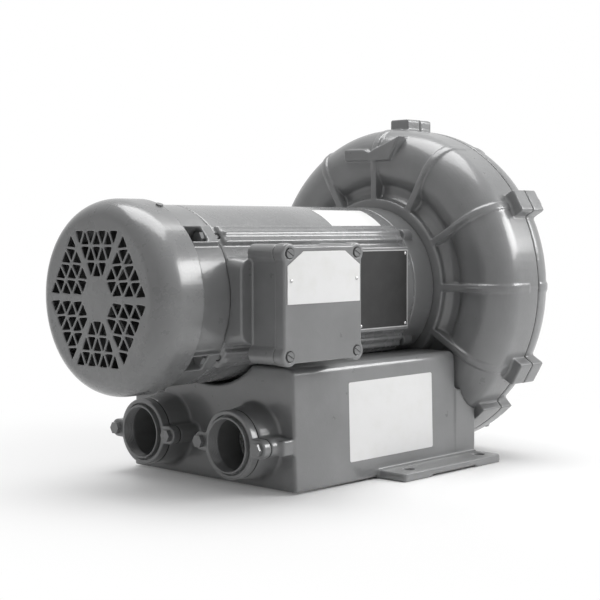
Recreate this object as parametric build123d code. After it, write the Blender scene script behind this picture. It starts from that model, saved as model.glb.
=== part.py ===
from build123d import *
import math
import os

os.makedirs("parts", exist_ok=True)

# Side channel blower. Frame: origin on the floor in the middle of the four foot holes,
# +X along the motor axis from the fan to the blower, -Y the conduit box side, +Z up.
# All sizes in millimetres.

# ------------------------------------------------------------------ driving sizes
# feet and manifold
foot_spacing_x = 136.0        # between foot holes along the motor axis
foot_spacing_y = 311.0        # between foot holes across it
foot_hole_d = 14.0
foot_front_margin = 31.0      # flange beyond the hole centres, fan side
foot_rear_margin = 20.5
foot_side_margin = 19.5
foot_t = 9.7
foot_pad_length = 50.0        # raised pads under both ends of each foot
foot_relief = 2.0             # how far the base stays off the floor between the pads
manifold_length = 285.5
manifold_half_width = 136.0
manifold_height = 136.9
manifold_draft = 3.5          # inward lean of each side wall at the top
manifold_wall = 7.0
manifold_corner_r = 9.0
divider_t = 12.0              # wall between the inlet and the outlet passage
rear_wall_t = 10.0
wing_t = 10.0                 # side walls that run on beside the blower
wing_gap = 1.0
saddle_gap = 4.0              # air space between the motor and the trough below it
plate_t = 4.0
plate_gasket_t = 1.0
plate_ledge = 12.0
plate_screw_d = 5.0
manifold_gasket_t = 1.0
port_side_y = 73.0            # port centres, each side of the middle
port_z = 53.0
port_bore_r = 28.5            # 2 inch pipe thread
port_neck_bore_r = 30.5
port_neck_length = 29.0
port_neck_tip_r = 38.0
port_neck_root_r = 43.0
port_flange_t = 10.0
port_flange_gasket_t = 1.0
port_lip_r = 31.0
port_lip_length = 4.0
port_groove_w = 2.0
port_groove_depth = 3.0
port_ear_offset = 45.5
port_ear_r = 10.5
port_bolt_d = 8.0
foam_t = 12.0
foam_end_gap = 0.3

# blower
axis_height = 214.4
housing_face_x = 50.0         # plane where motor, housing and manifold meet
blower_r = 201.5
face_offset = 3.5             # from the joint plane to the face of the torus
skin_t = 7.5
torus_inner_r = 124.0
torus_outer_round = 36.5
torus_inner_round = 30.0
hub_r = 112.0
hub_floor_t = 12.0
hub_cup_r = 100.0
web_x = 66.0                  # motor side of the flat web between hub and torus
web_t = 8.0
seal_bore_r = 20.0
channel_inner_r = 130.0
channel_depth = 36.0
channel_round = 29.0
land_w = 14.0                 # flat ring inside the channel that the impeller runs against
side_clearance = 1.2          # impeller to housing and cover
tip_clearance = 1.2
stripper_angle = 26.0
port_circle_r = 160.4         # radius on which the passages enter the channel
port_circle_angle = 22.6      # each side of the lowest point
passage_r = 27.0
seam_gasket_t = 0.8
cover_web_t = 8.0
cover_web_depth = 22.0        # web of the cover behind the seam
cover_boss_r = 34.0
cover_boss_h = 7.0
lug_angles = (90.0, 30.0, -30.0, 150.0, 210.0)
low_bolt_angles = (-60.0, -120.0)
lug_w = 30.0
lug_r = 216.0
lug_reach_motor = 25.0        # lug length on the motor side of the seam
lug_reach_cover = 22.5
lug_bolt_r = 206.0
lug_bolt_d = 8.0
belly_r = 213.0
belly_half_angle = 44.0
belly_floor_gap = 3.0
rib_t = 9.0
rib_rise = 3.0
rib_angles = (-30.0, 0.0, 30.0, 60.0, 90.0, 120.0, 150.0, 180.0, 210.0)
cover_rib_angles = (0.0, 30.0, 60.0, 90.0, 120.0, 150.0, 180.0, 210.0, 240.0, 270.0, 300.0, 330.0)
pad_half_width = 118.0
pad_top = 124.0
pad_bottom = 20.0
pad_r = 199.0
pad_bolt_d = 10.0
pad_bolts = ((98.0, 60.0), (98.0, 108.0), (17.0, 32.0))   # across, above the floor
hoist_t = 15.0

# impeller
vane_count = 36
vane_t = 3.2
blade_root_r = 130.0
impeller_width = 30.0
septum_t = 4.0
pocket_round = 11.0
rim_band = 9.0
impeller_web_t = 9.0
impeller_hub_r = 27.0
impeller_hub_length = 40.0
impeller_bore_gap = 0.02
impeller_bolt_d = 8.0
washer_r = 15.0
washer_t = 3.0
key_w = 5.0
key_h = 5.0
key_length = 28.0

# motor
motor_r = 100.0
frame_wall = 10.0
frame_length = 307.0
ridge_r = 104.5
ridge_half_width = 12.5
ridge_angle = 41.0            # above and below the horizontal, on both sides
ridge_end = 4.0               # ridge stops short of the frame's ends
tie_bolt_r = 96.5
tie_bolt_d = 8.0
shield_wall = 9.0
drive_shield_length = 38.5
fan_shield_length = 51.4
shield_spigot = 8.0
spigot_gap = 0.05
ear_pocket_depth = 32.0       # from the fan end to the seat of the tie bolt
ear_pocket_w = 20.0
ear_gap = 0.5                 # behind the skirt of the fan cover
ear_end = 4.0                 # ear stops short of the motor frame
flange_bolt_circle_r = 74.6
flange_bolt_d = 10.0
pilot_r = 57.15
pilot_h = 4.0
pilot_gap = 0.5
stator_length = 112.0
stator_bore_r = 55.5
winding_reach = 34.0
air_gap = 0.5
shaft_r = 12.5
shaft_end_r = 11.1            # impeller seat
rotor_length = 112.0
end_ring_reach = 12.0
bearing_od_r = 26.0
bearing_width = 15.0
ball_r = 3.9
ball_count = 9
ball_gap = 0.06
race_t = 3.0
wave_spring_t = 1.2

# fan and fan cover
fan_cover_r = 106.0
fan_cover_length = 49.8
fan_cover_t = 2.5
fan_cover_round = 19.0
cover_screw_angles = (68.0, 112.0, 248.0, 292.0)
cover_screw_d = 4.0
cover_screw_inset = 4.0
screw_boss_w = 12.0
screw_boss_gap = 0.4            # boss corners to the inside of the cover
screw_head_t = 1.6
vent_apothem = 71.5
vent_inner = 25.0
vent_rows = 3
vent_bar = 3.0
vent_spoke = 7.0
fan_r = 86.0
fan_hub_r = 18.0
fan_blades = 8
fan_blade_t = 2.5
fan_width = 26.0
fan_plate_t = 2.5
fan_front_gap = 8.0

# conduit box and plates
box_x = -222.0
box_z = 208.5
box_front_y = 165.0           # cover's front, away from the middle
cover_w = 121.0
cover_h = 123.0
cover_t = 14.0
cover_lobe_r = 11.0
box_screw_spacing_x = 105.0
box_screw_spacing_z = 107.0
box_screw_d = 6.0
box_body_depth = 38.0
box_gasket_t = 1.0
neck_w = 92.0
neck_h = 84.0
plate_w = 84.0
plate_h = 43.0
plate_sheet_t = 1.0
name_plate_length = 96.0
name_plate_angle = 29.0
name_plate_x1 = 6.0
pin_r = 1.8
plate_seat_gap = 0.05

# ------------------------------------------------------------------ derived stations
half_x = foot_spacing_x / 2
half_y = foot_spacing_y / 2
foot_x0 = -half_x - foot_front_margin
foot_x1 = half_x + foot_rear_margin
foot_y = half_y + foot_side_margin
manifold_x1 = housing_face_x - manifold_gasket_t
manifold_x0 = manifold_x1 - manifold_length
plate_z0 = foot_relief
ledge_z = plate_z0 + plate_t + plate_gasket_t
plate_half_width = manifold_half_width - manifold_wall
face_x = housing_face_x + face_offset
channel_x = face_x + skin_t - 1.0
land_x = channel_x + channel_depth
impeller_x0 = land_x + side_clearance
impeller_x = impeller_x0 + impeller_width / 2
impeller_x1 = impeller_x0 + impeller_width
seam_x = impeller_x1 + side_clearance
cover_x = seam_x + seam_gasket_t
cover_channel_x = seam_x + channel_depth
cover_face_x = cover_channel_x + skin_t - 1.0
channel_outer_r = blower_r - skin_t
impeller_r = channel_outer_r - tip_clearance
rib_x = face_x - rib_rise
drive_shield_x = housing_face_x - drive_shield_length
frame_x1 = drive_shield_x
frame_x0 = frame_x1 - frame_length
fan_shield_x = frame_x0 - fan_shield_length
fan_cover_x = fan_shield_x - fan_cover_length
frame_bore_r = motor_r - frame_wall
stator_x = (frame_x0 + frame_x1) / 2
drive_bearing_x = drive_shield_x + 12.0
fan_bearing_x = fan_shield_x + 14.0
tie_angles = (ridge_angle, -ridge_angle, 180 - ridge_angle, 180 + ridge_angle)


# ------------------------------------------------------------------ helpers
def section(*points):
    """Closed outline of (along, out) points; a third number rounds that corner."""
    face = make_face(Polyline(*[(p[0], p[1]) for p in points], close=True))
    for p in points:
        if len(p) == 3:
            corner = face.vertices().sort_by_distance((p[0], p[1], 0))[0]
            face = fillet(corner, p[2])
    return face


def turned(*points, arc=360.0):
    """Solid turned about the motor axis from an (x, radius) outline."""
    return revolve(Plane.XZ * section(*points), Axis.X, revolution_arc=arc)


def disc(x0, x1, r, y=0.0, z=0.0):
    """Round bar along X."""
    return Pos((x0 + x1) / 2, y, z) * Rot(0, 90, 0) * Cylinder(r, abs(x1 - x0))


def ring(x0, x1, r_out, r_in, y=0.0, z=0.0):
    return disc(x0, x1, r_out, y, z) - disc(x0 - 1, x1 + 1, r_in, y, z)


def block(x0, x1, y0, y1, z0, z1):
    size = Box(abs(x1 - x0), abs(y1 - y0), abs(z1 - z0))
    return Pos((x0 + x1) / 2, (y0 + y1) / 2, (z0 + z1) / 2) * size


def swing(angle, item):
    """Turn a piece built straight up to an angle from the conduit side, upwards."""
    return Rot(90 - angle, 0, 0) * item


def polar(angle, r):
    """(y, z) from the motor axis at an angle from the conduit side, upwards."""
    a = math.radians(angle)
    return -r * math.cos(a), r * math.sin(a)


def lifted(item):
    """From the motor axis to the floor frame."""
    return Pos(0, 0, axis_height) * item


def hex_bar(x0, x1, across_flats, y=0.0, z=0.0):
    plane = Plane(origin=(x0, y, z), x_dir=(0, 1, 0), z_dir=(1, 0, 0))
    return extrude(plane * RegularPolygon(across_flats / 2, 6, major_radius=False), x1 - x0)


def hex_bolt_x(x_seat, x_tip, d, y, z):
    """Hex bolt along X; its head lies on the far side of the seat from the tip."""
    out = 1 if x_seat > x_tip else -1
    head = hex_bar(x_seat, x_seat + out * 0.65 * d, 1.62 * d, y, z)
    return head + disc(x_tip, x_seat, d / 2, y, z)


def group(items):
    return Compound(children=[s for item in items for s in item.solids()])


# ------------------------------------------------------------------ manifold
def torus_blank(x0, x1, grow=0.0):
    """Outer form of the ring casing, or that form with space round it."""
    return turned(
        (x0 - grow, torus_inner_r),
        (x1, torus_inner_r),
        (x1, blower_r + grow),
        (x0 - grow, blower_r + grow, torus_outer_round),
    )


def manifold_profile():
    """Cross-section of the box with its leaning sides and rounded shoulders."""
    w = manifold_half_width
    top = w - manifold_draft
    outline = section(
        (-w, foot_relief),
        (w, foot_relief),
        (top, manifold_height, manifold_corner_r),
        (-top, manifold_height, manifold_corner_r),
    )
    return outline


def across(sketch, x0, x1):
    """Extrude a (y, z) sketch along X."""
    plane = Plane(origin=(x0, 0, 0), x_dir=(0, 1, 0), z_dir=(1, 0, 0))
    return extrude(plane * sketch, x1 - x0)


def passage(side):
    """One hollow of the manifold, open at the base."""
    y0 = side * divider_t / 2
    y1 = side * (manifold_half_width - manifold_wall - plate_ledge)
    room = block(manifold_x0 + manifold_wall, manifold_x1 - rear_wall_t, y0, y1,
                 ledge_z - 1, manifold_height - manifold_wall)
    vertical = room.edges().filter_by(Axis.X).group_by(Axis.Z)[-1]
    room = fillet(vertical, 6.0)
    trough = disc(manifold_x0, manifold_x1, motor_r + saddle_gap + manifold_wall, 0, axis_height)
    return room - trough


def port_body(side):
    y = side * port_side_y
    tip = manifold_x0 - port_neck_length
    plane = Plane(origin=(tip, y, port_z), x_dir=(0, 1, 0), z_dir=(1, 0, 0))
    root = plane.offset(port_neck_length + 3.0)
    neck = loft(Sketch() + [plane * Circle(port_neck_tip_r), root * Circle(port_neck_root_r)])
    for ear in (-1, 1):
        neck += disc(tip, manifold_x0 + 1, port_ear_r, y + ear * port_ear_offset, port_z)
        y_ear = y + ear * port_ear_offset
        neck += block(tip, manifold_x0 + 1, y, y_ear, port_z - port_ear_r, port_z + port_ear_r)
    return neck


def manifold():
    body = across(manifold_profile(), manifold_x0, manifold_x1)
    body -= disc(manifold_x0 - 1, manifold_x1 + 1, motor_r + saddle_gap, 0, axis_height)
    for side in (-1, 1):
        y_out = side * manifold_half_width
        wing = block(manifold_x1 - 1, foot_x1 - 2.0, y_out - side * wing_t, y_out, foot_relief,
                     axis_height - torus_inner_r)
        wing -= lifted(torus_blank(face_x, seam_x, wing_gap))
        wing -= block(housing_face_x - wing_gap, foot_x1, y_out - side * 30, y_out,
                      pad_top - 10, manifold_height)
        body += wing
        body += port_body(side)
        foot = block(foot_x0, foot_x1, y_out - side * wing_t, side * foot_y, 0, foot_t)
        foot = fillet(foot.edges().filter_by(Axis.Z).sort_by(Axis.Y)[::side][-2:], 5.0)
        relief = block(foot_x0 + foot_pad_length, foot_x1 - foot_pad_length, 0,
                       side * (foot_y + 1), -1, foot_relief)
        body += foot - relief
    for side in (-1, 1):
        body -= passage(side)
        body -= disc(manifold_x0 - port_neck_length - 1, manifold_x0 + manifold_wall + 1,
                     port_neck_bore_r, side * port_side_y, port_z)
        y, z = polar(-90 + side * port_circle_angle, port_circle_r)
        body -= disc(manifold_x1 - rear_wall_t - 1, manifold_x1 + 1, passage_r, y, z + axis_height)
        for hole_x in (-half_x, half_x):
            body -= Pos(hole_x, side * half_y, foot_t / 2) * Cylinder(foot_hole_d / 2, 4 * foot_t)
    rebate = block(manifold_x0 + manifold_wall, manifold_x1 - rear_wall_t + plate_ledge,
                   -plate_half_width, plate_half_width, -1, ledge_z)
    body -= rebate
    for y, z in pad_bolt_places():
        body -= disc(manifold_x1 - rear_wall_t - 1, manifold_x1 + 1, pad_bolt_d / 2 + 0.5, y, z)
    for x, y in plate_screw_places():
        body -= Pos(x, y, ledge_z + 5) * Cylinder(plate_screw_d / 2, 12)
    for y, z in port_bolt_places():
        body -= disc(manifold_x0 - port_neck_length - 1, manifold_x0 - 6, port_bolt_d / 2, y, z)
    return body


def pad_bolt_places():
    return [(side * y, z) for side in (-1, 1) for y, z in pad_bolts]


def port_bolt_places():
    places = []
    for side in (-1, 1):
        for ear in (-1, 1):
            places.append((side * port_side_y + ear * port_ear_offset, port_z))
    return places


def plate_screw_places():
    x0 = manifold_x0 + manifold_wall + plate_ledge / 2
    x1 = manifold_x1 - rear_wall_t + plate_ledge / 2
    y = plate_half_width - plate_ledge / 2
    return [(x, s * y) for x in (x0, (x0 + x1) / 2, x1) for s in (-1, 1)] + [(x0, 0.0), (x1, 0.0)]


def base_sheet(z0, z1):
    """Outline shared by the bottom plate and its gasket."""
    gap = 0.3
    return block(manifold_x0 + manifold_wall + gap, manifold_x1 - rear_wall_t + plate_ledge - gap,
                 -plate_half_width + gap, plate_half_width - gap, z0, z1)


def manifold_bottom_plate():
    plate = base_sheet(plate_z0, plate_z0 + plate_t)
    for x, y in plate_screw_places():
        plate -= Pos(x, y, plate_z0) * Cylinder(plate_screw_d / 2 + 0.3, 4 * plate_t)
        plate -= Pos(x, y, plate_z0 + 1.2) * Cone(plate_screw_d - 0.1, plate_screw_d / 2, 2.5)
    return plate


def bottom_plate_gasket():
    sheet = base_sheet(plate_z0 + plate_t, ledge_z)
    for side in (-1, 1):
        sheet -= block(manifold_x0 + manifold_wall + plate_ledge, manifold_x1 - rear_wall_t,
                       side * divider_t / 2, side * (plate_half_width - plate_ledge), 0, 20)
    for x, y in plate_screw_places():
        sheet -= Pos(x, y, ledge_z) * Cylinder(plate_screw_d / 2 + 0.3, 4 * plate_t)
    return sheet


def bottom_plate_screws():
    screws = []
    for x, y in plate_screw_places():
        head = Pos(x, y, plate_z0 + 1.3) * Cone(plate_screw_d - 0.4, plate_screw_d / 2 - 0.1, 2.2)
        shank = Pos(x, y, plate_z0 + 6.2) * Cylinder(plate_screw_d / 2 - 0.05, 10)
        screws.append(head + shank)
    return group(screws)


def muffler_foam(side):
    x0 = manifold_x0 + manifold_wall + foam_end_gap
    x1 = manifold_x1 - rear_wall_t - 40
    y = side * port_side_y
    return ring(x0, x1, port_neck_bore_r + foam_t, port_neck_bore_r, y, port_z)


def port_plate_sketch(side, bore_r):
    y = side * port_side_y
    shape = Pos(y, port_z) * Circle(port_neck_tip_r)
    for ear in (-1, 1):
        y_ear = y + ear * port_ear_offset
        shape += Pos(y_ear, port_z) * Circle(port_ear_r)
        shape += Pos((y + y_ear) / 2, port_z) * Rectangle(port_ear_offset, 2 * port_ear_r)
    shape -= Pos(y, port_z) * Circle(bore_r)
    return shape


def port_flange_x():
    back = manifold_x0 - port_neck_length - port_flange_gasket_t
    return back - port_flange_t, back


def port_flange(side):
    """Two-eared flange with the pipe thread's bore and a raised lip."""
    x0, x1 = port_flange_x()
    y = side * port_side_y
    flange = across(port_plate_sketch(side, port_bore_r), x0, x1)
    flange = fillet(flange.faces().sort_by(Axis.X)[0].outer_wire().edges(), 1.5)
    groove = ring(x0 - 1, x0 + port_groove_depth, port_lip_r + port_groove_w, port_lip_r, y, port_z)
    flange -= groove
    flange += ring(x0 - port_lip_length, x0 + 1, port_lip_r, port_bore_r, y, port_z)
    for ear in (-1, 1):
        flange -= disc(x0 - 1, x1 + 1, port_bolt_d / 2 + 0.4, y + ear * port_ear_offset, port_z)
    return flange


def port_gasket(side):
    back = manifold_x0 - port_neck_length
    sheet = across(port_plate_sketch(side, port_neck_bore_r), back - port_flange_gasket_t, back)
    for ear in (-1, 1):
        y = side * port_side_y + ear * port_ear_offset
        sheet -= disc(back - 5, back + 1, port_bolt_d / 2 + 0.4, y, port_z)
    return sheet


def port_flange_bolts():
    x0 = port_flange_x()[0]
    tip = manifold_x0 - 7.0
    return group([hex_bolt_x(x0, tip, port_bolt_d, y, z) for y, z in port_bolt_places()])


# ------------------------------------------------------------------ blower casing
def lug(x0, x1):
    """Square lug that holds one seam bolt, pointing straight up."""
    body = block(x0, x1, -lug_w / 2, lug_w / 2, blower_r - 12, lug_r)
    top = body.faces().sort_by(Axis.Z)[-1]
    return fillet(top.edges().filter_by(Axis.X), 2.5)


def belly(x0, x1):
    """Deeper rim round the lowest bolts, cut flat above the floor."""
    start = 180 - belly_half_angle
    arc = Rot(start, 0, 0) * turned((x0, blower_r - 12), (x1, blower_r - 12), (x1, belly_r),
                                    (x0, belly_r), arc=2 * belly_half_angle)
    floor = axis_height - belly_floor_gap
    return arc - block(x0 - 1, x1 + 1, -300, 300, -400, -floor)


def seam_bolt_places():
    return [polar(a, lug_bolt_r) for a in lug_angles + low_bolt_angles]


def rib(angle):
    """Radial rib over the motor side, a deep web between hub and torus."""
    outline = section(
        (rib_x, hub_r - 3),
        (rib_x, blower_r + 1, torus_outer_round + 2),
        (seam_x - 20, blower_r + 1),
        (seam_x - 20, blower_r - 5),
        (channel_x + 8, torus_inner_r + 10),
        (web_x + 2, hub_r - 3),
    )
    return swing(angle, extrude(Plane.XZ * outline, rib_t / 2, both=True))


def stripper(x_deep, x_open):
    """Block that stops the side channel at its lowest point, sunk into the walls round it."""
    bite = 2.0 if x_open > x_deep else -2.0
    side = section(
        (x_deep - bite, channel_inner_r - 2, channel_round + 2),
        (x_open, channel_inner_r - 2),
        (x_open, channel_outer_r + 2),
        (x_deep - bite, channel_outer_r + 2, channel_round + 2),
    )
    swept = revolve(Plane.XZ * side, Axis.X, revolution_arc=stripper_angle)
    return Rot(180 - stripper_angle / 2, 0, 0) * swept


def hoist_boss():
    """Forked boss on the top of the motor side for a lifting strap."""
    outline = Polyline((-27, 160), (49, 162), (49, 176.5), (14, 175.5), (7, 171.5), (-3, 176),
                       (-43, 190), close=True)
    low = housing_face_x - 1.5
    return across(make_face(outline), low, low + hoist_t + 12)


def motor_flange_bolts_at():
    return [polar(a, flange_bolt_circle_r) for a in (45, 135, 225, 315)]


def blower_housing():
    body = turned(
        (face_x, torus_inner_r, torus_inner_round),
        (seam_x, torus_inner_r),
        (seam_x, blower_r),
        (face_x, blower_r, torus_outer_round),
    )
    body += turned(
        (housing_face_x, 0),
        (housing_face_x, hub_r, 3.0),
        (web_x, hub_r),
        (web_x, torus_inner_r + 12),
        (land_x, torus_inner_r + 12),
        (land_x, 0),
    )
    for angle in rib_angles:
        body += rib(angle)
    for angle in lug_angles:
        body += swing(angle, lug(seam_x - lug_reach_motor, seam_x))
    body += belly(foot_x1 + 1, seam_x)
    pad = block(housing_face_x, channel_x + 25, -pad_half_width, pad_half_width,
                pad_bottom - axis_height, pad_top - axis_height)
    pad = fillet(pad.edges().filter_by(Axis.X).group_by(Axis.Z)[-1], 8.0)
    body += pad & disc(housing_face_x, channel_x + 25, pad_r)
    body += hoist_boss() - disc(0, 200, torus_inner_r + 25)
    body -= turned(
        (housing_face_x + hub_floor_t, 0),
        (housing_face_x + hub_floor_t, hub_cup_r, 6.0),
        (web_x + web_t, hub_cup_r),
        (web_x + web_t, channel_inner_r - land_w, 4.0),
        (land_x, channel_inner_r - land_w),
        (land_x, channel_inner_r),
        (channel_x, channel_inner_r, channel_round),
        (channel_x, channel_outer_r, channel_round),
        (seam_x + 1, channel_outer_r),
        (seam_x + 1, 0),
    )
    body += stripper(channel_x, land_x)
    body -= disc(housing_face_x - 1, web_x, seal_bore_r)
    body -= disc(housing_face_x - 1, housing_face_x + pilot_h + pilot_gap, pilot_r + spigot_gap)
    for side in (-1, 1):
        y, z = polar(-90 + side * port_circle_angle, port_circle_r)
        body -= disc(housing_face_x - 1, channel_x + 20, passage_r, y, z)
    for y, z in motor_flange_bolts_at():
        body -= disc(housing_face_x - 1, housing_face_x + 30, flange_bolt_d / 2 + 0.4, y, z)
    for y, z in seam_bolt_places():
        body -= disc(seam_x - 16, seam_x + 1, lug_bolt_d / 2, y, z)
    body = lifted(body)
    for y, z in pad_bolt_places():
        body -= disc(housing_face_x - 1, housing_face_x + 9, pad_bolt_d / 2, y, z)
    return body


def cover_rib(angle):
    outline = section(
        (cover_x + cover_web_depth - 2, cover_boss_r - 3),
        (cover_face_x + rib_rise, cover_boss_r + 30),
        (cover_face_x + rib_rise, blower_r + 1, torus_outer_round + 2),
        (cover_x + 1, blower_r + 1),
        (cover_x + 1, blower_r - 5),
        (cover_channel_x - 8, torus_inner_r + 10),
        (cover_x + cover_web_depth - 2, hub_r - 3),
    )
    return swing(angle, extrude(Plane.XZ * outline, rib_t / 2, both=True))


def housing_cover():
    body = turned(
        (cover_x, torus_inner_r),
        (cover_face_x, torus_inner_r, torus_inner_round),
        (cover_face_x, blower_r, torus_outer_round),
        (cover_x, blower_r),
    )
    web_x1 = cover_x + cover_web_depth
    body += turned((cover_x, 0), (web_x1 + cover_boss_h, 0), (web_x1 + cover_boss_h, cover_boss_r),
                   (web_x1, cover_boss_r), (web_x1, torus_inner_r + 12), (cover_x, torus_inner_r + 12))
    for angle in cover_rib_angles:
        body += cover_rib(angle)
    for angle in lug_angles:
        body += swing(angle, lug(cover_x, cover_x + lug_reach_cover))
    body += belly(cover_x, cover_x + lug_reach_cover)
    body -= turned((cover_x - 1, 0), (web_x1 - cover_web_t, 0),
                   (web_x1 - cover_web_t, channel_inner_r - land_w), (cover_x - 1, channel_inner_r - land_w))
    body -= turned((cover_x - 1, channel_inner_r), (cover_channel_x, channel_inner_r, channel_round),
                   (cover_channel_x, channel_outer_r, channel_round), (cover_x - 1, channel_outer_r))
    body += stripper(cover_channel_x, cover_x)
    for y, z in seam_bolt_places():
        body -= disc(cover_x - 1, cover_x + lug_reach_cover + 30, lug_bolt_d / 2 + 0.4, y, z)
        head_room = disc(cover_x + lug_reach_cover, cover_x + lug_reach_cover + 30, 8.5, y, z)
        body -= head_room
    return lifted(body)


def seam_gasket():
    body = ring(seam_x, cover_x, blower_r, channel_outer_r)
    for angle in lug_angles:
        body += swing(angle, lug(seam_x, cover_x))
    body += belly(seam_x, cover_x)
    body -= disc(seam_x - 1, cover_x + 1, channel_outer_r)
    for y, z in seam_bolt_places():
        body -= disc(seam_x - 1, cover_x + 1, lug_bolt_d / 2 + 0.4, y, z)
    return lifted(body)


def seam_bolts():
    seat = cover_x + lug_reach_cover
    tip = seam_x - 14
    return lifted(group([hex_bolt_x(seat, tip, lug_bolt_d, y, z) for y, z in seam_bolt_places()]))


def manifold_gasket():
    sheet = block(manifold_x1, housing_face_x, -pad_half_width, pad_half_width, pad_bottom, pad_top)
    sheet &= lifted(disc(manifold_x1, housing_face_x, pad_r))
    sheet -= lifted(disc(manifold_x1 - 1, housing_face_x + 1, hub_r + 2))
    for side in (-1, 1):
        y, z = polar(-90 + side * port_circle_angle, port_circle_r)
        sheet -= disc(manifold_x1 - 1, housing_face_x + 1, passage_r, y, z + axis_height)
    for y, z in pad_bolt_places():
        sheet -= disc(manifold_x1 - 1, housing_face_x + 1, pad_bolt_d / 2 + 0.5, y, z)
    return sheet


def manifold_bolts():
    seat = manifold_x1 - rear_wall_t
    tip = housing_face_x + 8
    return group([hex_bolt_x(seat, tip, pad_bolt_d, y, z) for y, z in pad_bolt_places()])


def shaft_seal():
    x0 = housing_face_x + pilot_h + pilot_gap
    body = ring(x0, housing_face_x + hub_floor_t, seal_bore_r, shaft_r + 3)
    lip = turned((x0 + 2, shaft_r + 3.5), (x0 + 5, shaft_r + 3.5), (x0 + 4, shaft_r + 0.05),
                 (x0 + 3, shaft_r + 0.05))
    return lifted(body + lip)


# ------------------------------------------------------------------ impeller
def pocket(side):
    """Space between two vanes on one side of the septum."""
    deep = impeller_x + side * septum_t / 2
    mouth = impeller_x + side * (impeller_width / 2 + 1)
    gap = 360 / vane_count - math.degrees(vane_t / blade_root_r)
    shape = section((deep, blade_root_r, pocket_round), (mouth, blade_root_r),
                    (mouth, impeller_r + 1), (deep, impeller_r + 1))
    return revolve(Plane.XZ * shape, Axis.X, revolution_arc=gap)


def impeller():
    hub_x1 = impeller_x + impeller_hub_length * 0.35
    hub_x0 = hub_x1 - impeller_hub_length
    web_0 = impeller_x - impeller_web_t / 2
    web_1 = impeller_x + impeller_web_t / 2
    bore = shaft_end_r + impeller_bore_gap
    blank = turned(
        (hub_x0, bore), (hub_x0, impeller_hub_r, 2.0), (web_0, impeller_hub_r, 5.0),
        (web_0, blade_root_r - rim_band, 5.0), (impeller_x0, blade_root_r - rim_band),
        (impeller_x0, impeller_r), (impeller_x1, impeller_r),
        (impeller_x1, blade_root_r - rim_band), (web_1, blade_root_r - rim_band, 5.0),
        (web_1, impeller_hub_r, 5.0), (hub_x1, impeller_hub_r, 2.0), (hub_x1, bore),
    )
    pockets = []
    for i in range(vane_count):
        for side in (-1, 1):
            pockets.append(Rot(i * 360 / vane_count, 0, 0) * pocket(side))
    blank -= pockets
    blank -= block(hub_x0 - 1, hub_x1 + 1, -key_w / 2, key_w / 2, 0, shaft_end_r + key_h / 2 + 0.1)
    return lifted(blank)


def impeller_hub_ends():
    x1 = impeller_x + impeller_hub_length * 0.35
    return x1 - impeller_hub_length, x1


# ------------------------------------------------------------------ motor
def ridge():
    """Raised ridge that covers one tie bolt, pointing straight up."""
    x0 = frame_x0 + ridge_end
    x1 = frame_x1 - ridge_end
    bar = block(x0, x1, -ridge_half_width, ridge_half_width, motor_r - 8, ridge_r)
    top = bar.faces().sort_by(Axis.Z)[-1]
    return fillet(top.edges(), 3.0)


def motor_frame():
    body = disc(frame_x0, frame_x1, motor_r)
    for angle in tie_angles:
        body += swing(angle, ridge())
    body -= disc(frame_x0 - 1, frame_x1 + 1, frame_bore_r)
    for angle in tie_angles:
        y, z = polar(angle, tie_bolt_r)
        body -= disc(frame_x0 - 1, frame_x1 + 1, tie_bolt_d / 2 + 0.3, y, z)
    body -= Pos(box_x, -motor_r, box_z - axis_height) * Rot(90, 0, 0) * Cylinder(16, 40)
    return lifted(body)


def stator_core():
    x0 = stator_x - stator_length / 2
    x1 = stator_x + stator_length / 2
    return lifted(ring(x0, x1, frame_bore_r, stator_bore_r))


def stator_windings():
    """Two rings of end turns, one at each end of the core."""
    coils = []
    for side in (-1, 1):
        x0 = stator_x + side * stator_length / 2
        x1 = x0 + side * winding_reach
        coil = turned((x0, stator_bore_r + 5), (x0, frame_bore_r - 9),
                      (x1, frame_bore_r - 7, 6.0), (x1, stator_bore_r + 7, 6.0))
        coils.append(lifted(coil))
    return group(coils)


def bearing_stations():
    return (drive_bearing_x, fan_bearing_x)


def drive_end_shield():
    x0 = drive_shield_x
    x1 = housing_face_x
    seat0 = drive_bearing_x
    body = turned(
        (x0 - shield_spigot, frame_bore_r - spigot_gap),
        (x0, frame_bore_r - spigot_gap),
        (x0, motor_r, 1.5),
        (x1, motor_r, 3.0),
        (x1, pilot_r),
        (x1 + pilot_h, pilot_r),
        (x1 + pilot_h, shaft_r + 1.5),
        (seat0 + bearing_width, shaft_r + 1.5),
        (seat0 + bearing_width, bearing_od_r + 0.01),
        (seat0 - 3, bearing_od_r + 0.01),
        (seat0 - 3, bearing_od_r + shield_wall),
        (x1 - shield_wall - 6, bearing_od_r + shield_wall + 6),
        (x1 - shield_wall - 6, frame_bore_r - shield_wall - 12),
        (x0 - shield_spigot, frame_bore_r - shield_wall),
    )
    for angle in tie_angles:
        y, z = polar(angle, tie_bolt_r)
        body -= disc(x0 - 20, x0 + 20, tie_bolt_d / 2, y, z)
    for y, z in motor_flange_bolts_at():
        body -= disc(x1 - 14, x1 + 1, flange_bolt_d / 2, y, z)
    return lifted(body)


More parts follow.
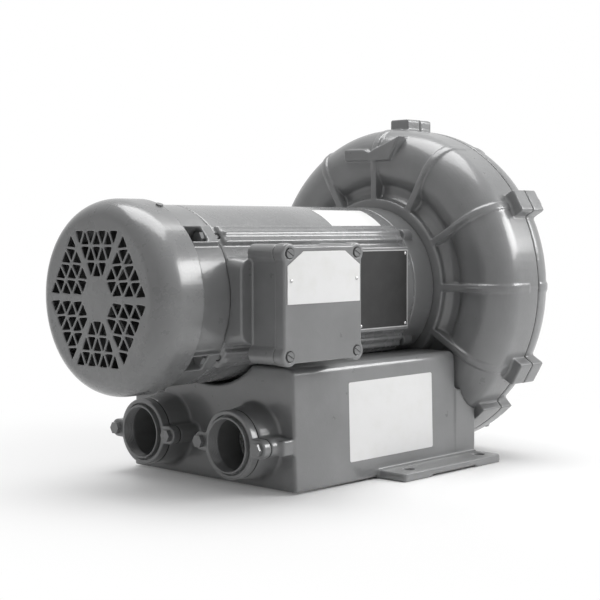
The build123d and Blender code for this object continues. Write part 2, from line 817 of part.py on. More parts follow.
def fan_end_shield():
    x0 = fan_shield_x
    x1 = frame_x0
    seat0 = fan_bearing_x
    body = turned(
        (x0, shaft_r + 1.5),
        (x0, motor_r - 6, 3.0),
        (x0 + 8, motor_r, 3.0),
        (x1, motor_r, 1.5),
        (x1, frame_bore_r - spigot_gap),
        (x1 + shield_spigot, frame_bore_r - spigot_gap),
        (x1 + shield_spigot, frame_bore_r - shield_wall),
        (x1 - 12, frame_bore_r - shield_wall - 4),
        (x0 + shield_wall + 8, bearing_od_r + shield_wall + 8),
        (seat0 + bearing_width + 6, bearing_od_r + shield_wall),
        (seat0 + bearing_width + 6, bearing_od_r + 0.01),
        (seat0 - wave_spring_t, bearing_od_r + 0.01),
        (seat0 - wave_spring_t, shaft_r + 1.5),
    )
    for angle in tie_angles:
        body += swing(angle, block(x0 + 2 * cover_screw_inset + ear_gap, x1 - ear_end, -ridge_half_width,
                                   ridge_half_width, motor_r - 16, ridge_r))
    for angle in cover_screw_angles:
        body += swing(angle, block(x0, x0 + 2 * cover_screw_inset, -screw_boss_w / 2, screw_boss_w / 2,
                                   motor_r - 12, fan_cover_r - fan_cover_t - screw_boss_gap))
        hole = Pos(x0 + cover_screw_inset, 0, fan_cover_r) * Cylinder(cover_screw_d / 2, 30)
        body -= swing(angle, hole)
    pocket_x = x0 + ear_pocket_depth
    for angle in tie_angles:
        y, z = polar(angle, tie_bolt_r)
        body -= disc(x0 - 1, pocket_x, ear_pocket_w / 2, y, z)
        body -= swing(angle, block(x0 - 1, pocket_x, -ear_pocket_w / 2, ear_pocket_w / 2, tie_bolt_r,
                                   ridge_r + ear_pocket_w))
        body -= disc(pocket_x - 1, x1 + 1, tie_bolt_d / 2 + 0.3, y, z)
    return lifted(body)


def tie_bolts():
    seat = fan_shield_x + ear_pocket_depth
    tip = drive_shield_x + 18
    places = [polar(angle, tie_bolt_r) for angle in tie_angles]
    return lifted(group([hex_bolt_x(seat, tip, tie_bolt_d, y, z) for y, z in places]))


def motor_flange_bolts():
    seat = housing_face_x + hub_floor_t
    tip = housing_face_x - 13
    places = motor_flange_bolts_at()
    return lifted(group([hex_bolt_x(seat, tip, flange_bolt_d, y, z) for y, z in places]))


def race_radii():
    """Inner race's outside, outer race's inside, and the circle of ball centres."""
    pitch = (shaft_r + bearing_od_r) / 2
    return shaft_r + race_t, bearing_od_r - race_t, pitch


def bearing_outer_races():
    races = []
    shoulder = race_radii()[1]
    pitch = race_radii()[2]
    for x in bearing_stations():
        race = ring(x, x + bearing_width, bearing_od_r, shoulder)
        mid = x + bearing_width / 2
        groove = Pos(mid, 0, 0) * Rot(0, 90, 0) * Torus(pitch, ball_r + ball_gap)
        races.append(race - groove)
    return lifted(group(races))


def bearing_inner_races():
    races = []
    shoulder = race_radii()[0]
    pitch = race_radii()[2]
    for x in bearing_stations():
        race = ring(x, x + bearing_width, shoulder, shaft_r)
        mid = x + bearing_width / 2
        groove = Pos(mid, 0, 0) * Rot(0, 90, 0) * Torus(pitch, ball_r + ball_gap)
        races.append(race - groove)
    return lifted(group(races))


def ball_set(x):
    """Caged balls of one bearing."""
    pitch = race_radii()[2]
    mid = x + bearing_width / 2
    balls = []
    for i in range(ball_count):
        y, z = polar(i * 360 / ball_count, pitch)
        balls.append(Pos(mid, y, z) * Sphere(ball_r))
    return lifted(group(balls))


def ball_cage(x):
    pitch = race_radii()[2]
    mid = x + bearing_width / 2
    cage = ring(mid - 4.6, mid + 4.6, pitch + 1.2, pitch - 1.2)
    for i in range(ball_count):
        y, z = polar(i * 360 / ball_count, pitch)
        cage -= Pos(mid, y, z) * Sphere(ball_r + 0.1)
    return lifted(cage)


def wave_spring():
    x1 = fan_bearing_x
    return lifted(ring(x1 - wave_spring_t, x1, bearing_od_r - 0.3, bearing_od_r - 4.5))


def shaft():
    fan_tip = fan_cover_x + fan_cover_t + fan_front_gap
    hub_x0, hub_x1 = impeller_hub_ends()
    bar = turned(
        (fan_tip, 0), (fan_tip, 9.0, 0.8), (fan_shield_x - 4, 9.0), (fan_shield_x - 4, shaft_r),
        (hub_x0, shaft_r), (hub_x0, shaft_end_r), (hub_x1 - 1, shaft_end_r, 0.8), (hub_x1 - 1, 0),
    )
    bar += disc(fan_bearing_x + bearing_width, drive_bearing_x, shaft_r + 4)
    bar -= block(hub_x0 + 4, hub_x0 + 4 + key_length, -key_w / 2, key_w / 2, shaft_end_r - key_h / 2, 30)
    bar -= disc(hub_x1 - 24, hub_x1 + 1, impeller_bolt_d / 2)
    return lifted(bar)


def impeller_key():
    hub_x0 = impeller_hub_ends()[0]
    return lifted(block(hub_x0 + 4, hub_x0 + 4 + key_length, -key_w / 2, key_w / 2,
                        shaft_end_r - key_h / 2, shaft_end_r + key_h / 2))


def impeller_washer():
    x = impeller_hub_ends()[1]
    return lifted(ring(x, x + washer_t, washer_r, impeller_bolt_d / 2 + 0.3))


def impeller_bolt():
    x = impeller_hub_ends()[1] + washer_t
    return lifted(hex_bolt_x(x, x - 24, impeller_bolt_d, 0, 0))


def rotor_core():
    x0 = stator_x - rotor_length / 2
    x1 = stator_x + rotor_length / 2
    r = stator_bore_r - air_gap
    core = ring(x0, x1, r, shaft_r + 4)
    for x_a, x_b in ((x0 - end_ring_reach, x0), (x1, x1 + end_ring_reach)):
        core += ring(x_a, x_b, r - 2, r - 16)
    return lifted(core)


# ------------------------------------------------------------------ fan end
def fan_stations():
    x0 = fan_cover_x + fan_cover_t + fan_front_gap
    return x0, x0 + fan_width


def cooling_fan():
    x0, x1 = fan_stations()
    plate = ring(x1, x1 + fan_plate_t, fan_r, 9.02)
    hub = ring(x0 + 4, x1 + fan_plate_t, fan_hub_r, 9.02)
    blades = []
    for i in range(fan_blades):
        blade = block(x0 + 2, x1, -fan_blade_t / 2, fan_blade_t / 2, fan_hub_r - 1, fan_r - 1)
        blades.append(Rot(i * 360 / fan_blades, 0, 0) * blade)
    return lifted(plate + hub + blades)


def fan_clip():
    """Ring that keeps the fan on the shaft."""
    x0 = fan_stations()[0] + 2.4
    return lifted(ring(x0, x0 + 1.6, 12.0, 9.0))


def vent_triangles():
    """Rows of alternating triangles in six sectors, as (y, z) faces."""
    row_h = (vent_apothem - vent_inner + vent_bar) / vent_rows
    tri_h = row_h - vent_bar
    holes = []
    for row in range(vent_rows):
        low = vent_inner + row * row_h
        count = 2 * row + 3
        side = 2 * low * math.tan(math.radians(30)) - vent_spoke
        base = tri_h * 2 / math.sqrt(3)
        pitch = (side + 2 * tri_h * math.tan(math.radians(30)) + base * 0.5) / (count + 1)
        for i in range(count):
            middle = (i - (count - 1) / 2) * (pitch + 0.6)
            if i % 2 == 0:
                points = [(middle - base / 2, low + tri_h), (middle + base / 2, low + tri_h), (middle, low)]
            else:
                points = [(middle - base / 2, low), (middle + base / 2, low), (middle, low + tri_h)]
            holes.append(points)
    return holes


def fan_cover():
    x0 = fan_cover_x
    x1 = fan_shield_x
    r = fan_cover_r
    t = fan_cover_t
    body = turned(
        (x0, 0), (x0, r, fan_cover_round), (x1 + 2 * cover_screw_inset, r),
        (x1 + 2 * cover_screw_inset, r - t),
        (x0 + t, r - t, fan_cover_round - t), (x0 + t, 0),
    )
    cutters = []
    for points in vent_triangles():
        prism = across(make_face(Polyline(*points, close=True)), x0 - 1, x0 + t + 1)
        for k in range(6):
            cutters.append(Rot(k * 60, 0, 0) * prism)
    body -= cutters
    for angle in cover_screw_angles:
        body -= swing(angle, Pos(x1 + cover_screw_inset, 0, r) * Cylinder(cover_screw_d / 2 + 0.2, 12))
    return lifted(body)


def fan_cover_screws():
    screws = []
    x = fan_shield_x + cover_screw_inset
    for angle in cover_screw_angles:
        head = Pos(x, 0, fan_cover_r + screw_head_t / 2 + 0.1) * Cylinder(cover_screw_d, screw_head_t)
        shank = Pos(x, 0, fan_cover_r - 5) * Cylinder(cover_screw_d / 2, 12)
        screws.append(swing(angle, head + shank))
    return lifted(group(screws))


# ------------------------------------------------------------------ conduit box
def box_screw_places():
    return [(box_x + sx * box_screw_spacing_x / 2, box_z + sz * box_screw_spacing_z / 2)
            for sx in (-1, 1) for sz in (-1, 1)]


def toward_front(sketch_at, y0, y1):
    """Extrude an (x, z) sketch from y0 to y1, both measured towards the conduit side."""
    plane = Plane(origin=(0, -y0, 0), x_dir=(1, 0, 0), z_dir=(0, -1, 0))
    return extrude(plane * sketch_at, y1 - y0)


def box_outline(w, h, lobe):
    shape = Pos(box_x, box_z) * RectangleRounded(w, h, lobe)
    for x, z in box_screw_places():
        shape += Pos(x, z) * Circle(lobe)
    return shape


def conduit_box():
    back = box_front_y - cover_t - box_gasket_t
    front = back - box_body_depth
    body = toward_front(box_outline(cover_w - 6, cover_h - 6, cover_lobe_r - 1), front, back)
    neck = toward_front(Pos(box_x, box_z) * RectangleRounded(neck_w, neck_h, 14), motor_r - 22, front + 1)
    body += neck
    cavity = toward_front(Pos(box_x, box_z) * RectangleRounded(cover_w - 36, cover_h - 36, 8),
                          motor_r + 12, back + 1)
    body -= cavity
    body -= lifted(disc(frame_x0 - 40, frame_x1, motor_r))
    for angle in (ridge_angle, -ridge_angle):
        body -= lifted(swing(angle, block(frame_x0, frame_x1, -ridge_half_width - 0.3,
                                          ridge_half_width + 0.3, motor_r - 8, ridge_r + 0.3)))
    body -= Pos(box_x, -motor_r, box_z) * Rot(90, 0, 0) * Cylinder(16, 60)
    for x, z in box_screw_places():
        body -= Pos(x, -back + 8, z) * Rot(90, 0, 0) * Cylinder(box_screw_d / 2, 18)
    return body


def conduit_box_gasket():
    back = box_front_y - cover_t
    sheet = toward_front(box_outline(cover_w - 6, cover_h - 6, cover_lobe_r - 1), back - box_gasket_t, back)
    sheet -= toward_front(Pos(box_x, box_z) * RectangleRounded(cover_w - 36, cover_h - 36, 8),
                          back - 5, back + 1)
    for x, z in box_screw_places():
        sheet -= Pos(x, -back, z) * Rot(90, 0, 0) * Cylinder(box_screw_d / 2 + 0.3, 18)
    return sheet


def conduit_box_cover():
    back = box_front_y - cover_t
    body = toward_front(box_outline(cover_w, cover_h, cover_lobe_r), back, box_front_y)
    body = fillet(body.faces().sort_by(Axis.Y)[0].outer_wire().edges(), 2.0)
    for x, z in box_screw_places():
        body -= Pos(x, -back, z) * Rot(90, 0, 0) * Cylinder(box_screw_d / 2 + 0.3, 60)
        body -= Pos(x, -box_front_y, z) * Rot(90, 0, 0) * Cylinder(6.0, 2 * 3.0)
    return body


def conduit_cover_screws():
    screws = []
    seat = box_front_y - 3.0
    for x, z in box_screw_places():
        head = Pos(x, -seat - 2, z) * Rot(90, 0, 0) * Cylinder(5.0, 4)
        shank = Pos(x, -seat + 12, z) * Rot(90, 0, 0) * Cylinder(box_screw_d / 2, 24)
        slot = Pos(x, -seat - 4, z) * Rot(0, 30, 0) * Box(12, 2.4, 1.2)
        screws.append(head + shank - slot)
    return group(screws)


def cover_plate():
    """Bare plate with two clipped upper corners."""
    w = plate_w / 2
    h = plate_h / 2
    clip = 13.0
    outline = Polyline((-w, -h), (w, -h), (w, h - clip), (w - clip, h), (-w + clip, h), (-w, h - clip),
                       close=True)
    face = Pos(box_x, box_z + 22) * make_face(outline)
    return toward_front(face, box_front_y, box_front_y + plate_sheet_t)


def cover_plate_pins():
    pins = []
    for side in (-1, 1):
        x = box_x + side * (plate_w / 2 - 5)
        y = box_front_y + plate_sheet_t
        pins.append(Pos(x, -y - 0.5, box_z + 18) * Rot(90, 0, 0) * Cylinder(pin_r, 1.0))
    return group(pins)


def name_plate():
    """Plate rolled to the frame between its two near ridges."""
    x1 = name_plate_x1
    x0 = x1 - name_plate_length
    start = 90 - name_plate_angle
    r0 = motor_r + plate_seat_gap
    r1 = r0 + plate_sheet_t
    sheet = turned((x0, r0), (x1, r0), (x1, r1), (x0, r1), arc=2 * name_plate_angle)
    return lifted(Rot(start, 0, 0) * sheet)


def name_plate_pins():
    pins = []
    for x in (name_plate_x1 - name_plate_length + 4, name_plate_x1 - 4):
        for angle in (-name_plate_angle + 3, name_plate_angle - 3):
            pin = Pos(x, 0, motor_r + plate_sheet_t + 0.5) * Cylinder(pin_r, 0.9)
            pins.append(lifted(swing(angle, pin)))
    return group(pins)


# ------------------------------------------------------------------ write the nodes
nodes = {
    "manifold": manifold,
    "manifold_bottom_plate": manifold_bottom_plate,
    "bottom_plate_gasket": bottom_plate_gasket,
    "bottom_plate_screws": bottom_plate_screws,
    "inlet_muffler_foam": lambda: muffler_foam(-1),
    "outlet_muffler_foam": lambda: muffler_foam(1),
    "inlet_flange": lambda: port_flange(-1),
    "outlet_flange": lambda: port_flange(1),
    "inlet_flange_gasket": lambda: port_gasket(-1),
    "outlet_flange_gasket": lambda: port_gasket(1),
    "port_flange_bolts": port_flange_bolts,
    "manifold_gasket": manifold_gasket,
    "manifold_bolts": manifold_bolts,
    "blower_housing": blower_housing,
    "housing_cover": housing_cover,
    "seam_gasket": seam_gasket,
    "seam_bolts": seam_bolts,
    "shaft_seal": shaft_seal,
    "impeller": impeller,
    "impeller_key": impeller_key,
    "impeller_washer": impeller_washer,
    "impeller_bolt": impeller_bolt,
    "motor_frame": motor_frame,
    "stator_core": stator_core,
    "stator_windings": stator_windings,
    "drive_end_shield": drive_end_shield,
    "fan_end_shield": fan_end_shield,
    "tie_bolts": tie_bolts,
    "motor_flange_bolts": motor_flange_bolts,
    "bearing_outer_races": bearing_outer_races,
    "bearing_inner_races": bearing_inner_races,
    "drive_end_balls": lambda: ball_set(drive_bearing_x),
    "drive_end_cage": lambda: ball_cage(drive_bearing_x),
    "fan_end_balls": lambda: ball_set(fan_bearing_x),
    "fan_end_cage": lambda: ball_cage(fan_bearing_x),
    "wave_spring": wave_spring,
    "shaft": shaft,
    "rotor_core": rotor_core,
    "cooling_fan": cooling_fan,
    "fan_clip": fan_clip,
    "fan_cover": fan_cover,
    "fan_cover_screws": fan_cover_screws,
    "conduit_box": conduit_box,
    "conduit_box_gasket": conduit_box_gasket,
    "conduit_box_cover": conduit_box_cover,
    "conduit_cover_screws": conduit_cover_screws,
    "cover_plate": cover_plate,
    "cover_plate_pins": cover_plate_pins,
    "name_plate": name_plate,
    "name_plate_pins": name_plate_pins,
}

for name, make in nodes.items():
    export_step(make(), f"parts/{name}.step")
    print("wrote", name)
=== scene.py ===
# %% [markdown]
# # Dressing a side channel blower
# The blower comes in as finished solids at their real size. Here every surface gets the finish of
# the real one, and the few things that are only looks, such as labels, threads and cast edges,
# are modelled on top. All lengths are metres, in the frame of the solids: +X runs along the motor
# towards the blower, -Y is the side of the conduit box, and +Z is up.

# %% Load the solids
import math
import bmesh
import bpy
from mathutils import Matrix, Vector


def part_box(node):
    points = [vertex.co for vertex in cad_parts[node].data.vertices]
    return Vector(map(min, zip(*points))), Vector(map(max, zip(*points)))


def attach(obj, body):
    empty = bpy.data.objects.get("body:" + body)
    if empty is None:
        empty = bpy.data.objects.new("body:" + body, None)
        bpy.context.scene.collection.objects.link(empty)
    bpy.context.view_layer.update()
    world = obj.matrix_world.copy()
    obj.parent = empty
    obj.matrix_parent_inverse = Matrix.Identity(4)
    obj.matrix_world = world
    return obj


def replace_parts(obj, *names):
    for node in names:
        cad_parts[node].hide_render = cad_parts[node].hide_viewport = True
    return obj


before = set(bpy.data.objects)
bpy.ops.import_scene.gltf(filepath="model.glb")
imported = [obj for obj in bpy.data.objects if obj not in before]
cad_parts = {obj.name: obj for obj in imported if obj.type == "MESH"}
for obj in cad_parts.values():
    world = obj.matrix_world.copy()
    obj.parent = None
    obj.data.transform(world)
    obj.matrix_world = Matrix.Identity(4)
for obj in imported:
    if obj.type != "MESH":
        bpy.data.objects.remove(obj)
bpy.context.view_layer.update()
MM = 0.001

# %% [markdown]
# Sizes that the looks need are read from the solids where they can be. A node's box tells where
# the motor's axis is and where its frame starts and ends, so the labels follow if the model changes.

# %% Where things are
housing_low, housing_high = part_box("blower_housing")
frame_low, frame_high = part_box("motor_frame")
shaft_low, shaft_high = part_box("shaft")
manifold_low, manifold_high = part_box("manifold")
axis_z = (shaft_low.z + shaft_high.z) / 2
motor_r = (frame_high.y - frame_low.y) / 2
print(f"motor axis at {axis_z:.4f} m, frame radius {motor_r:.4f} m")

# %% [markdown]
# ## Shader maths in Python
# A material is a small program made of nodes. Wiring each Math node by hand hides the formula, so
# one class wraps a socket and gives it the arithmetic signs. `1 - mask * 0.3` then builds its own
# nodes. Colours go through Mix nodes, because a Math node would turn them grey.

# %% A socket with arithmetic
class Wire:
    """An output socket that adds Math nodes when it is used in an expression."""

    def __init__(self, board, socket):
        self.board = board
        self.socket = socket

    def maths(self, operation, first, second=0.0):
        return self.board.add("ShaderNodeMath", {"operation": operation}, {0: first, 1: second})

    def __add__(self, other):
        return self.maths("ADD", self, other)

    def __sub__(self, other):
        return self.maths("SUBTRACT", self, other)

    def __mul__(self, other):
        return self.maths("MULTIPLY", self, other)

    def __rsub__(self, other):
        return self.maths("SUBTRACT", other, self)

    def between(self, low, high):
        """0 below low, 1 above high, and smooth in between."""
        settings = {"interpolation_type": "SMOOTHSTEP"}
        return self.board.add("ShaderNodeMapRange", settings, {"Value": self, 1: low, 2: high})


# %% [markdown]
# The second helper is the board itself: one method adds any node, sets its settings first and then
# fills its sockets with plain values or with wires.

# %% A board of nodes
class Board:
    """The node tree of one material."""

    def __init__(self, name, tree=None):
        if tree is None:
            self.material = bpy.data.materials.new(name)
            self.material.use_nodes = True
            tree = self.material.node_tree
        self.tree = tree
        self.tree.nodes.clear()

    def add(self, kind, settings=None, values=None, output=0):
        node = self.tree.nodes.new(kind)
        for key, value in (settings or {}).items():
            setattr(node, key, value)
        for key, value in (values or {}).items():
            if isinstance(value, Wire):
                self.tree.links.new(value.socket, node.inputs[key])
            else:
                node.inputs[key].default_value = value
        return Wire(self, node.outputs[output])

    def place(self):
        """Where a point of the object is, in metres."""
        return self.add("ShaderNodeTexCoord", output=3)

    def noise(self, scale, detail=3.0, roughness=0.5, where=None):
        settings = {"noise_dimensions": "3D"}
        values = {"Vector": where or self.place(), "Scale": scale, "Detail": detail, "Roughness": roughness}
        return self.add("ShaderNodeTexNoise", settings, values)

    def mix(self, factor, first, second):
        """Colour between two colours."""
        settings = {"data_type": "RGBA"}
        return self.add("ShaderNodeMix", settings, {0: factor, 6: first, 7: second}, output=2)

    def bump(self, height, depth, strength=1.0, normal=None):
        values = {"Height": height, "Distance": depth, "Strength": strength}
        if normal is not None:
            values["Normal"] = normal
        return self.add("ShaderNodeBump", None, values)

    def finish(self, **values):
        """Close the material with one Principled shader."""
        named = {key.replace("_", " ").title().replace("Ior", "IOR"): v for key, v in values.items()}
        return self.close(self.add("ShaderNodeBsdfPrincipled", None, named))

    def close(self, shader):
        out = self.tree.nodes.new("ShaderNodeOutputMaterial")
        self.tree.links.new(shader.socket, out.inputs["Surface"])
        return self.material


def rgb(r, g, b):
    return (r, g, b, 1.0)


def grey(value, tint=0.0):
    """A linear grey, a touch cooler where tint is above zero."""
    return rgb(value * (1 - tint), value, value * (1 + tint))


# %% [markdown]
# ## The enamel
# Nearly every outer piece wears the same grey enamel, but it lies on different metal. On a sand
# casting the grain of the mould shows through as fine bumps. On the rolled motor frame only the
# orange peel of the spraying is left. One function makes both, with the depth of the grain as its
# argument. The colour drifts a little, because no sprayed coat is even.

# %% Grey enamel
ENAMEL_DARK = grey(0.182, 0.012)
ENAMEL_LIGHT = grey(0.217, 0.012)


def enamel(name, grain_depth, grain_scale=750.0, gloss=0.30, lift=1.0):
    board = Board(name)
    drift = board.noise(14.0, 4.0, 0.55)
    speckle = board.noise(1900.0, 2.0)
    dark = tuple(c * lift for c in ENAMEL_DARK[:3]) + (1.0,)
    light = tuple(c * lift for c in ENAMEL_LIGHT[:3]) + (1.0,)
    colour = board.mix(drift.between(0.3, 0.7), dark, light)
    colour = board.mix(speckle.between(0.55, 0.8) * 0.12, colour, grey(0.14 * lift))
    roughness = board.noise(55.0, 5.0, 0.6) * 0.14 + (gloss - 0.07)
    grain = board.noise(grain_scale, 3.0, 0.6)
    peel = board.noise(260.0, 1.0)
    waves = board.noise(32.0, 2.0)
    normal = board.bump(waves, 0.6 * MM, 0.5)
    normal = board.bump(peel, 0.12 * MM, 0.6, normal)
    normal = board.bump(grain, grain_depth, 0.8, normal)
    return board.finish(base_color=colour, roughness=roughness, normal=normal,
                        coat_weight=0.5, coat_roughness=0.14)


cast_enamel = enamel("cast enamel", 0.16 * MM, 620.0)
rolled_enamel = enamel("rolled enamel", 0.04 * MM, 900.0, gloss=0.27, lift=1.04)
sheet_enamel = enamel("sheet enamel", 0.03 * MM, 1100.0, gloss=0.28, lift=0.97)
bolt_enamel = enamel("bolt enamel", 0.06 * MM, 1400.0, gloss=0.30, lift=0.9)
print("enamels:", cast_enamel.name, rolled_enamel.name, sheet_enamel.name, bolt_enamel.name)

# %% [markdown]
# ## Bare metals
# Turned and ground steel shows fine lines that run round the axis. Noise that is squeezed along X
# draws them: it changes fast along the motor and slowly round it.

# %% Turned steel, cast aluminium, brass and copper
def stretched(board, x, y, z):
    """Coordinates scaled by a factor of their own on each axis."""
    return board.add("ShaderNodeVectorMath", {"operation": "MULTIPLY"}, {0: board.place(), 1: (x, y, z)})


def turned_metal(name, colour, dull, line_scale, rough, line_depth):
    board = Board(name)
    lines = board.noise(1.0, 2.0, 0.5, stretched(board, line_scale, 30.0, 30.0))
    stain = board.noise(60.0, 4.0, 0.6)
    base = board.mix(stain.between(0.35, 0.75) * 0.5, colour, dull)
    roughness = lines * 0.14 + stain * 0.1 + (rough - 0.12)
    normal = board.bump(lines, line_depth, 0.7)
    return board.finish(base_color=base, metallic=1.0, roughness=roughness, normal=normal)


turned_steel = turned_metal("turned steel", grey(0.56), grey(0.40), 4200.0, 0.30, 0.03 * MM)
brass = turned_metal("pressed brass", rgb(0.62, 0.45, 0.18), rgb(0.38, 0.27, 0.12), 1500.0, 0.36, 0.04 * MM)


def cast_metal():
    board = Board("cast aluminium")
    skin = board.noise(900.0, 4.0, 0.65)
    cloud = board.noise(38.0, 4.0, 0.6)
    base = board.mix(cloud.between(0.3, 0.75), grey(0.62), grey(0.48))
    roughness = skin * 0.2 + 0.34
    normal = board.bump(cloud, 0.4 * MM, 0.4)
    normal = board.bump(skin, 0.22 * MM, 0.8, normal)
    return board.finish(base_color=base, metallic=1.0, roughness=roughness, normal=normal)


def laminations():
    board = Board("varnished laminations")
    settings = {"wave_type": "BANDS", "bands_direction": "X", "wave_profile": "SAW"}
    sheets = board.add("ShaderNodeTexWave", settings, {"Vector": board.place(), "Scale": 320.0}, 1)
    cloud = board.noise(70.0, 4.0, 0.6)
    base = board.mix(cloud.between(0.3, 0.8), grey(0.2), rgb(0.17, 0.13, 0.09))
    base = board.mix(sheets * 0.35, base, grey(0.08))
    normal = board.bump(sheets, 0.12 * MM, 0.8)
    return board.finish(base_color=base, metallic=0.75, roughness=cloud * 0.2 + 0.34, normal=normal)


def copper_wire():
    board = Board("varnished copper wire")
    where = stretched(board, 900.0, 620.0, 620.0)
    settings = {"feature": "F1", "voronoi_dimensions": "3D"}
    strands = board.add("ShaderNodeTexVoronoi", settings, {"Vector": where, "Scale": 0.8})
    cloud = board.noise(90.0, 3.0)
    base = board.mix(cloud.between(0.3, 0.7), rgb(0.42, 0.15, 0.05), rgb(0.56, 0.26, 0.1))
    # painted shade: the grooves between the strands, where the bump is low, are coloured darker
    base = board.mix(strands.between(0.35, 0.8) * 0.6, base, rgb(0.1, 0.035, 0.015))
    normal = board.bump(1 - strands, 0.7 * MM, 0.9)
    return board.finish(base_color=base, metallic=0.6, roughness=cloud * 0.2 + 0.28, normal=normal,
                        coat_weight=0.6, coat_roughness=0.2)


cast_aluminium = cast_metal()
lamination_steel = laminations()
copper = copper_wire()
print("metals:", turned_steel.name, brass.name, cast_aluminium.name, lamination_steel.name, copper.name)

# %% [markdown]
# ## Rubber, foam, plastic and lacquered plates
# Foam is all holes, so its bumps come from cells: the distance to the nearest cell centre falls to a pit in
# each one. The pits are painted darker than the walls between them: painted shade in the holes.

# %% The soft and the thin
def rubber():
    board = Board("gasket rubber")
    dust = board.noise(120.0, 4.0, 0.65)
    grain = board.noise(2600.0, 2.0)
    base = board.mix(dust.between(0.45, 0.8) * 0.6, grey(0.018), grey(0.055))
    normal = board.bump(grain, 0.06 * MM, 0.8)
    return board.finish(base_color=base, roughness=dust * 0.25 + 0.62, normal=normal)


def foam():
    board = Board("open cell foam")
    where = stretched(board, 520.0, 520.0, 520.0)
    cells = board.add("ShaderNodeTexVoronoi", {"feature": "SMOOTH_F1"}, {"Vector": where, "Scale": 1.0})
    dust = board.noise(50.0, 4.0)
    # painted shade: the pit near each cell centre is coloured darker than the walls around it
    base = board.mix(cells.between(0.15, 0.6), grey(0.3), grey(0.6))
    base = board.mix(dust.between(0.5, 0.8) * 0.3, base, grey(0.66))
    normal = board.bump(cells, 1.2 * MM, 1.0)
    return board.finish(base_color=base, roughness=dust * 0.1 + 0.86, normal=normal)


def plastic():
    board = Board("moulded plastic")
    spark = board.noise(1700.0, 2.0)
    cloud = board.noise(30.0, 3.0)
    base = board.mix(cloud.between(0.3, 0.7), grey(0.09), grey(0.13))
    normal = board.bump(spark, 0.07 * MM, 0.8)
    return board.finish(base_color=base, roughness=spark * 0.16 + 0.42, normal=normal)


def lacquer(name, shade, shadow, gloss):
    board = Board(name)
    cloud = board.noise(45.0, 4.0, 0.6)
    scuff = board.noise(1.0, 3.0, 0.6, stretched(board, 60.0, 60.0, 1400.0))
    base = board.mix(cloud.between(0.4, 0.8) * 0.5, shade, shadow)
    base = board.mix(scuff.between(0.62, 0.8) * 0.25, base, shadow)
    normal = board.bump(cloud, 0.25 * MM, 0.3)
    return board.finish(base_color=base, roughness=scuff * 0.12 + gloss, normal=normal)


gasket_rubber = rubber()
muffler_foam = foam()
fan_plastic = plastic()
white_plate = lacquer("white lacquer", grey(0.82), rgb(0.74, 0.74, 0.71), 0.3)
label_film = lacquer("white label film", grey(0.78), rgb(0.72, 0.72, 0.70), 0.34)
print("others:", gasket_rubber.name, muffler_foam.name, fan_plastic.name, white_plate.name)

# %% [markdown]
# The dark plate beside the conduit box has a bright printed line just inside its edge. The line is
# a frame-shaped mask: how far a point is from the plate's middle, measured along X and along Z.

# %% Dark plate with a bright line
def framed_plate(low, high, inset, width):
    low, high = Vector(low), Vector(high)
    middle = (low + high) / 2
    board = Board("dark lacquered plate")
    split = board.add("ShaderNodeSeparateXYZ", None, {0: board.place()})
    x, z = split, Wire(board, split.socket.node.outputs[2])
    far_x = (x - middle.x).maths("ABSOLUTE", x - middle.x) - ((high.x - low.x) / 2 - inset)
    far_z = (z - middle.z).maths("ABSOLUTE", z - middle.z) - ((high.z - low.z) / 2 - inset)
    reach = far_x.maths("MAXIMUM", far_x, far_z)
    off = reach.maths("ABSOLUTE", reach)
    line = 1 - off.between(width * 0.4, width * 0.6)
    cloud = board.noise(60.0, 4.0, 0.6)
    base = board.mix(cloud.between(0.35, 0.75), grey(0.010), grey(0.018))
    base = board.mix(line, base, grey(0.5))
    normal = board.bump(cloud, 0.2 * MM, 0.3)
    return board.finish(base_color=base, roughness=cloud * 0.15 + 0.42, normal=normal)


LINE_INSET, LINE_WIDTH = 0.8 * MM, 1.3 * MM
dark_low = (-94 * MM, 0.0, axis_z - 45.5 * MM)
dark_high = (-4 * MM, 0.0, axis_z + 48 * MM)
dark_plate = framed_plate(dark_low, dark_high, LINE_INSET, LINE_WIDTH)

# %% [markdown]
# ## A finish for every solid
# Each solid gets the finish of its own material. The castings get the grainy enamel, the rolled
# motor frame the smooth one, and the fasteners a slightly darker one. The seam gasket and the
# manifold gasket are shown painted over, so they wear the fasteners' enamel instead of rubber.

# %% Hand the finishes out
finishes = {
    cast_enamel: ["manifold", "blower_housing", "housing_cover", "inlet_flange", "outlet_flange",
                  "drive_end_shield", "fan_end_shield", "conduit_box", "conduit_box_cover"],
    rolled_enamel: ["motor_frame"],
    sheet_enamel: ["fan_cover", "manifold_bottom_plate"],
    bolt_enamel: ["port_flange_bolts", "seam_bolts", "manifold_bolts", "motor_flange_bolts", "tie_bolts",
                  "fan_cover_screws", "conduit_cover_screws", "bottom_plate_screws", "manifold_gasket",
                  "seam_gasket"],
    gasket_rubber: ["inlet_flange_gasket", "outlet_flange_gasket", "bottom_plate_gasket",
                    "conduit_box_gasket", "shaft_seal"],
    muffler_foam: ["inlet_muffler_foam", "outlet_muffler_foam"],
    turned_steel: ["shaft", "impeller_key", "impeller_washer", "impeller_bolt", "fan_clip", "wave_spring",
                   "bearing_outer_races", "bearing_inner_races", "drive_end_balls", "fan_end_balls",
                   "cover_plate_pins", "name_plate_pins"],
    brass: ["drive_end_cage", "fan_end_cage"],
    cast_aluminium: ["impeller"],
    lamination_steel: ["stator_core", "rotor_core"],
    copper: ["stator_windings"],
    fan_plastic: ["cooling_fan"],
    white_plate: ["cover_plate"],
    dark_plate: ["name_plate"],
}
dressed = set()
for finish, names in finishes.items():
    for name in names:
        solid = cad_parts[name]
        solid.data.materials.clear()
        solid.data.materials.append(finish)
        dressed.add(name)
print("dressed:", len(dressed), "left over:", sorted(set(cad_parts) - dressed))

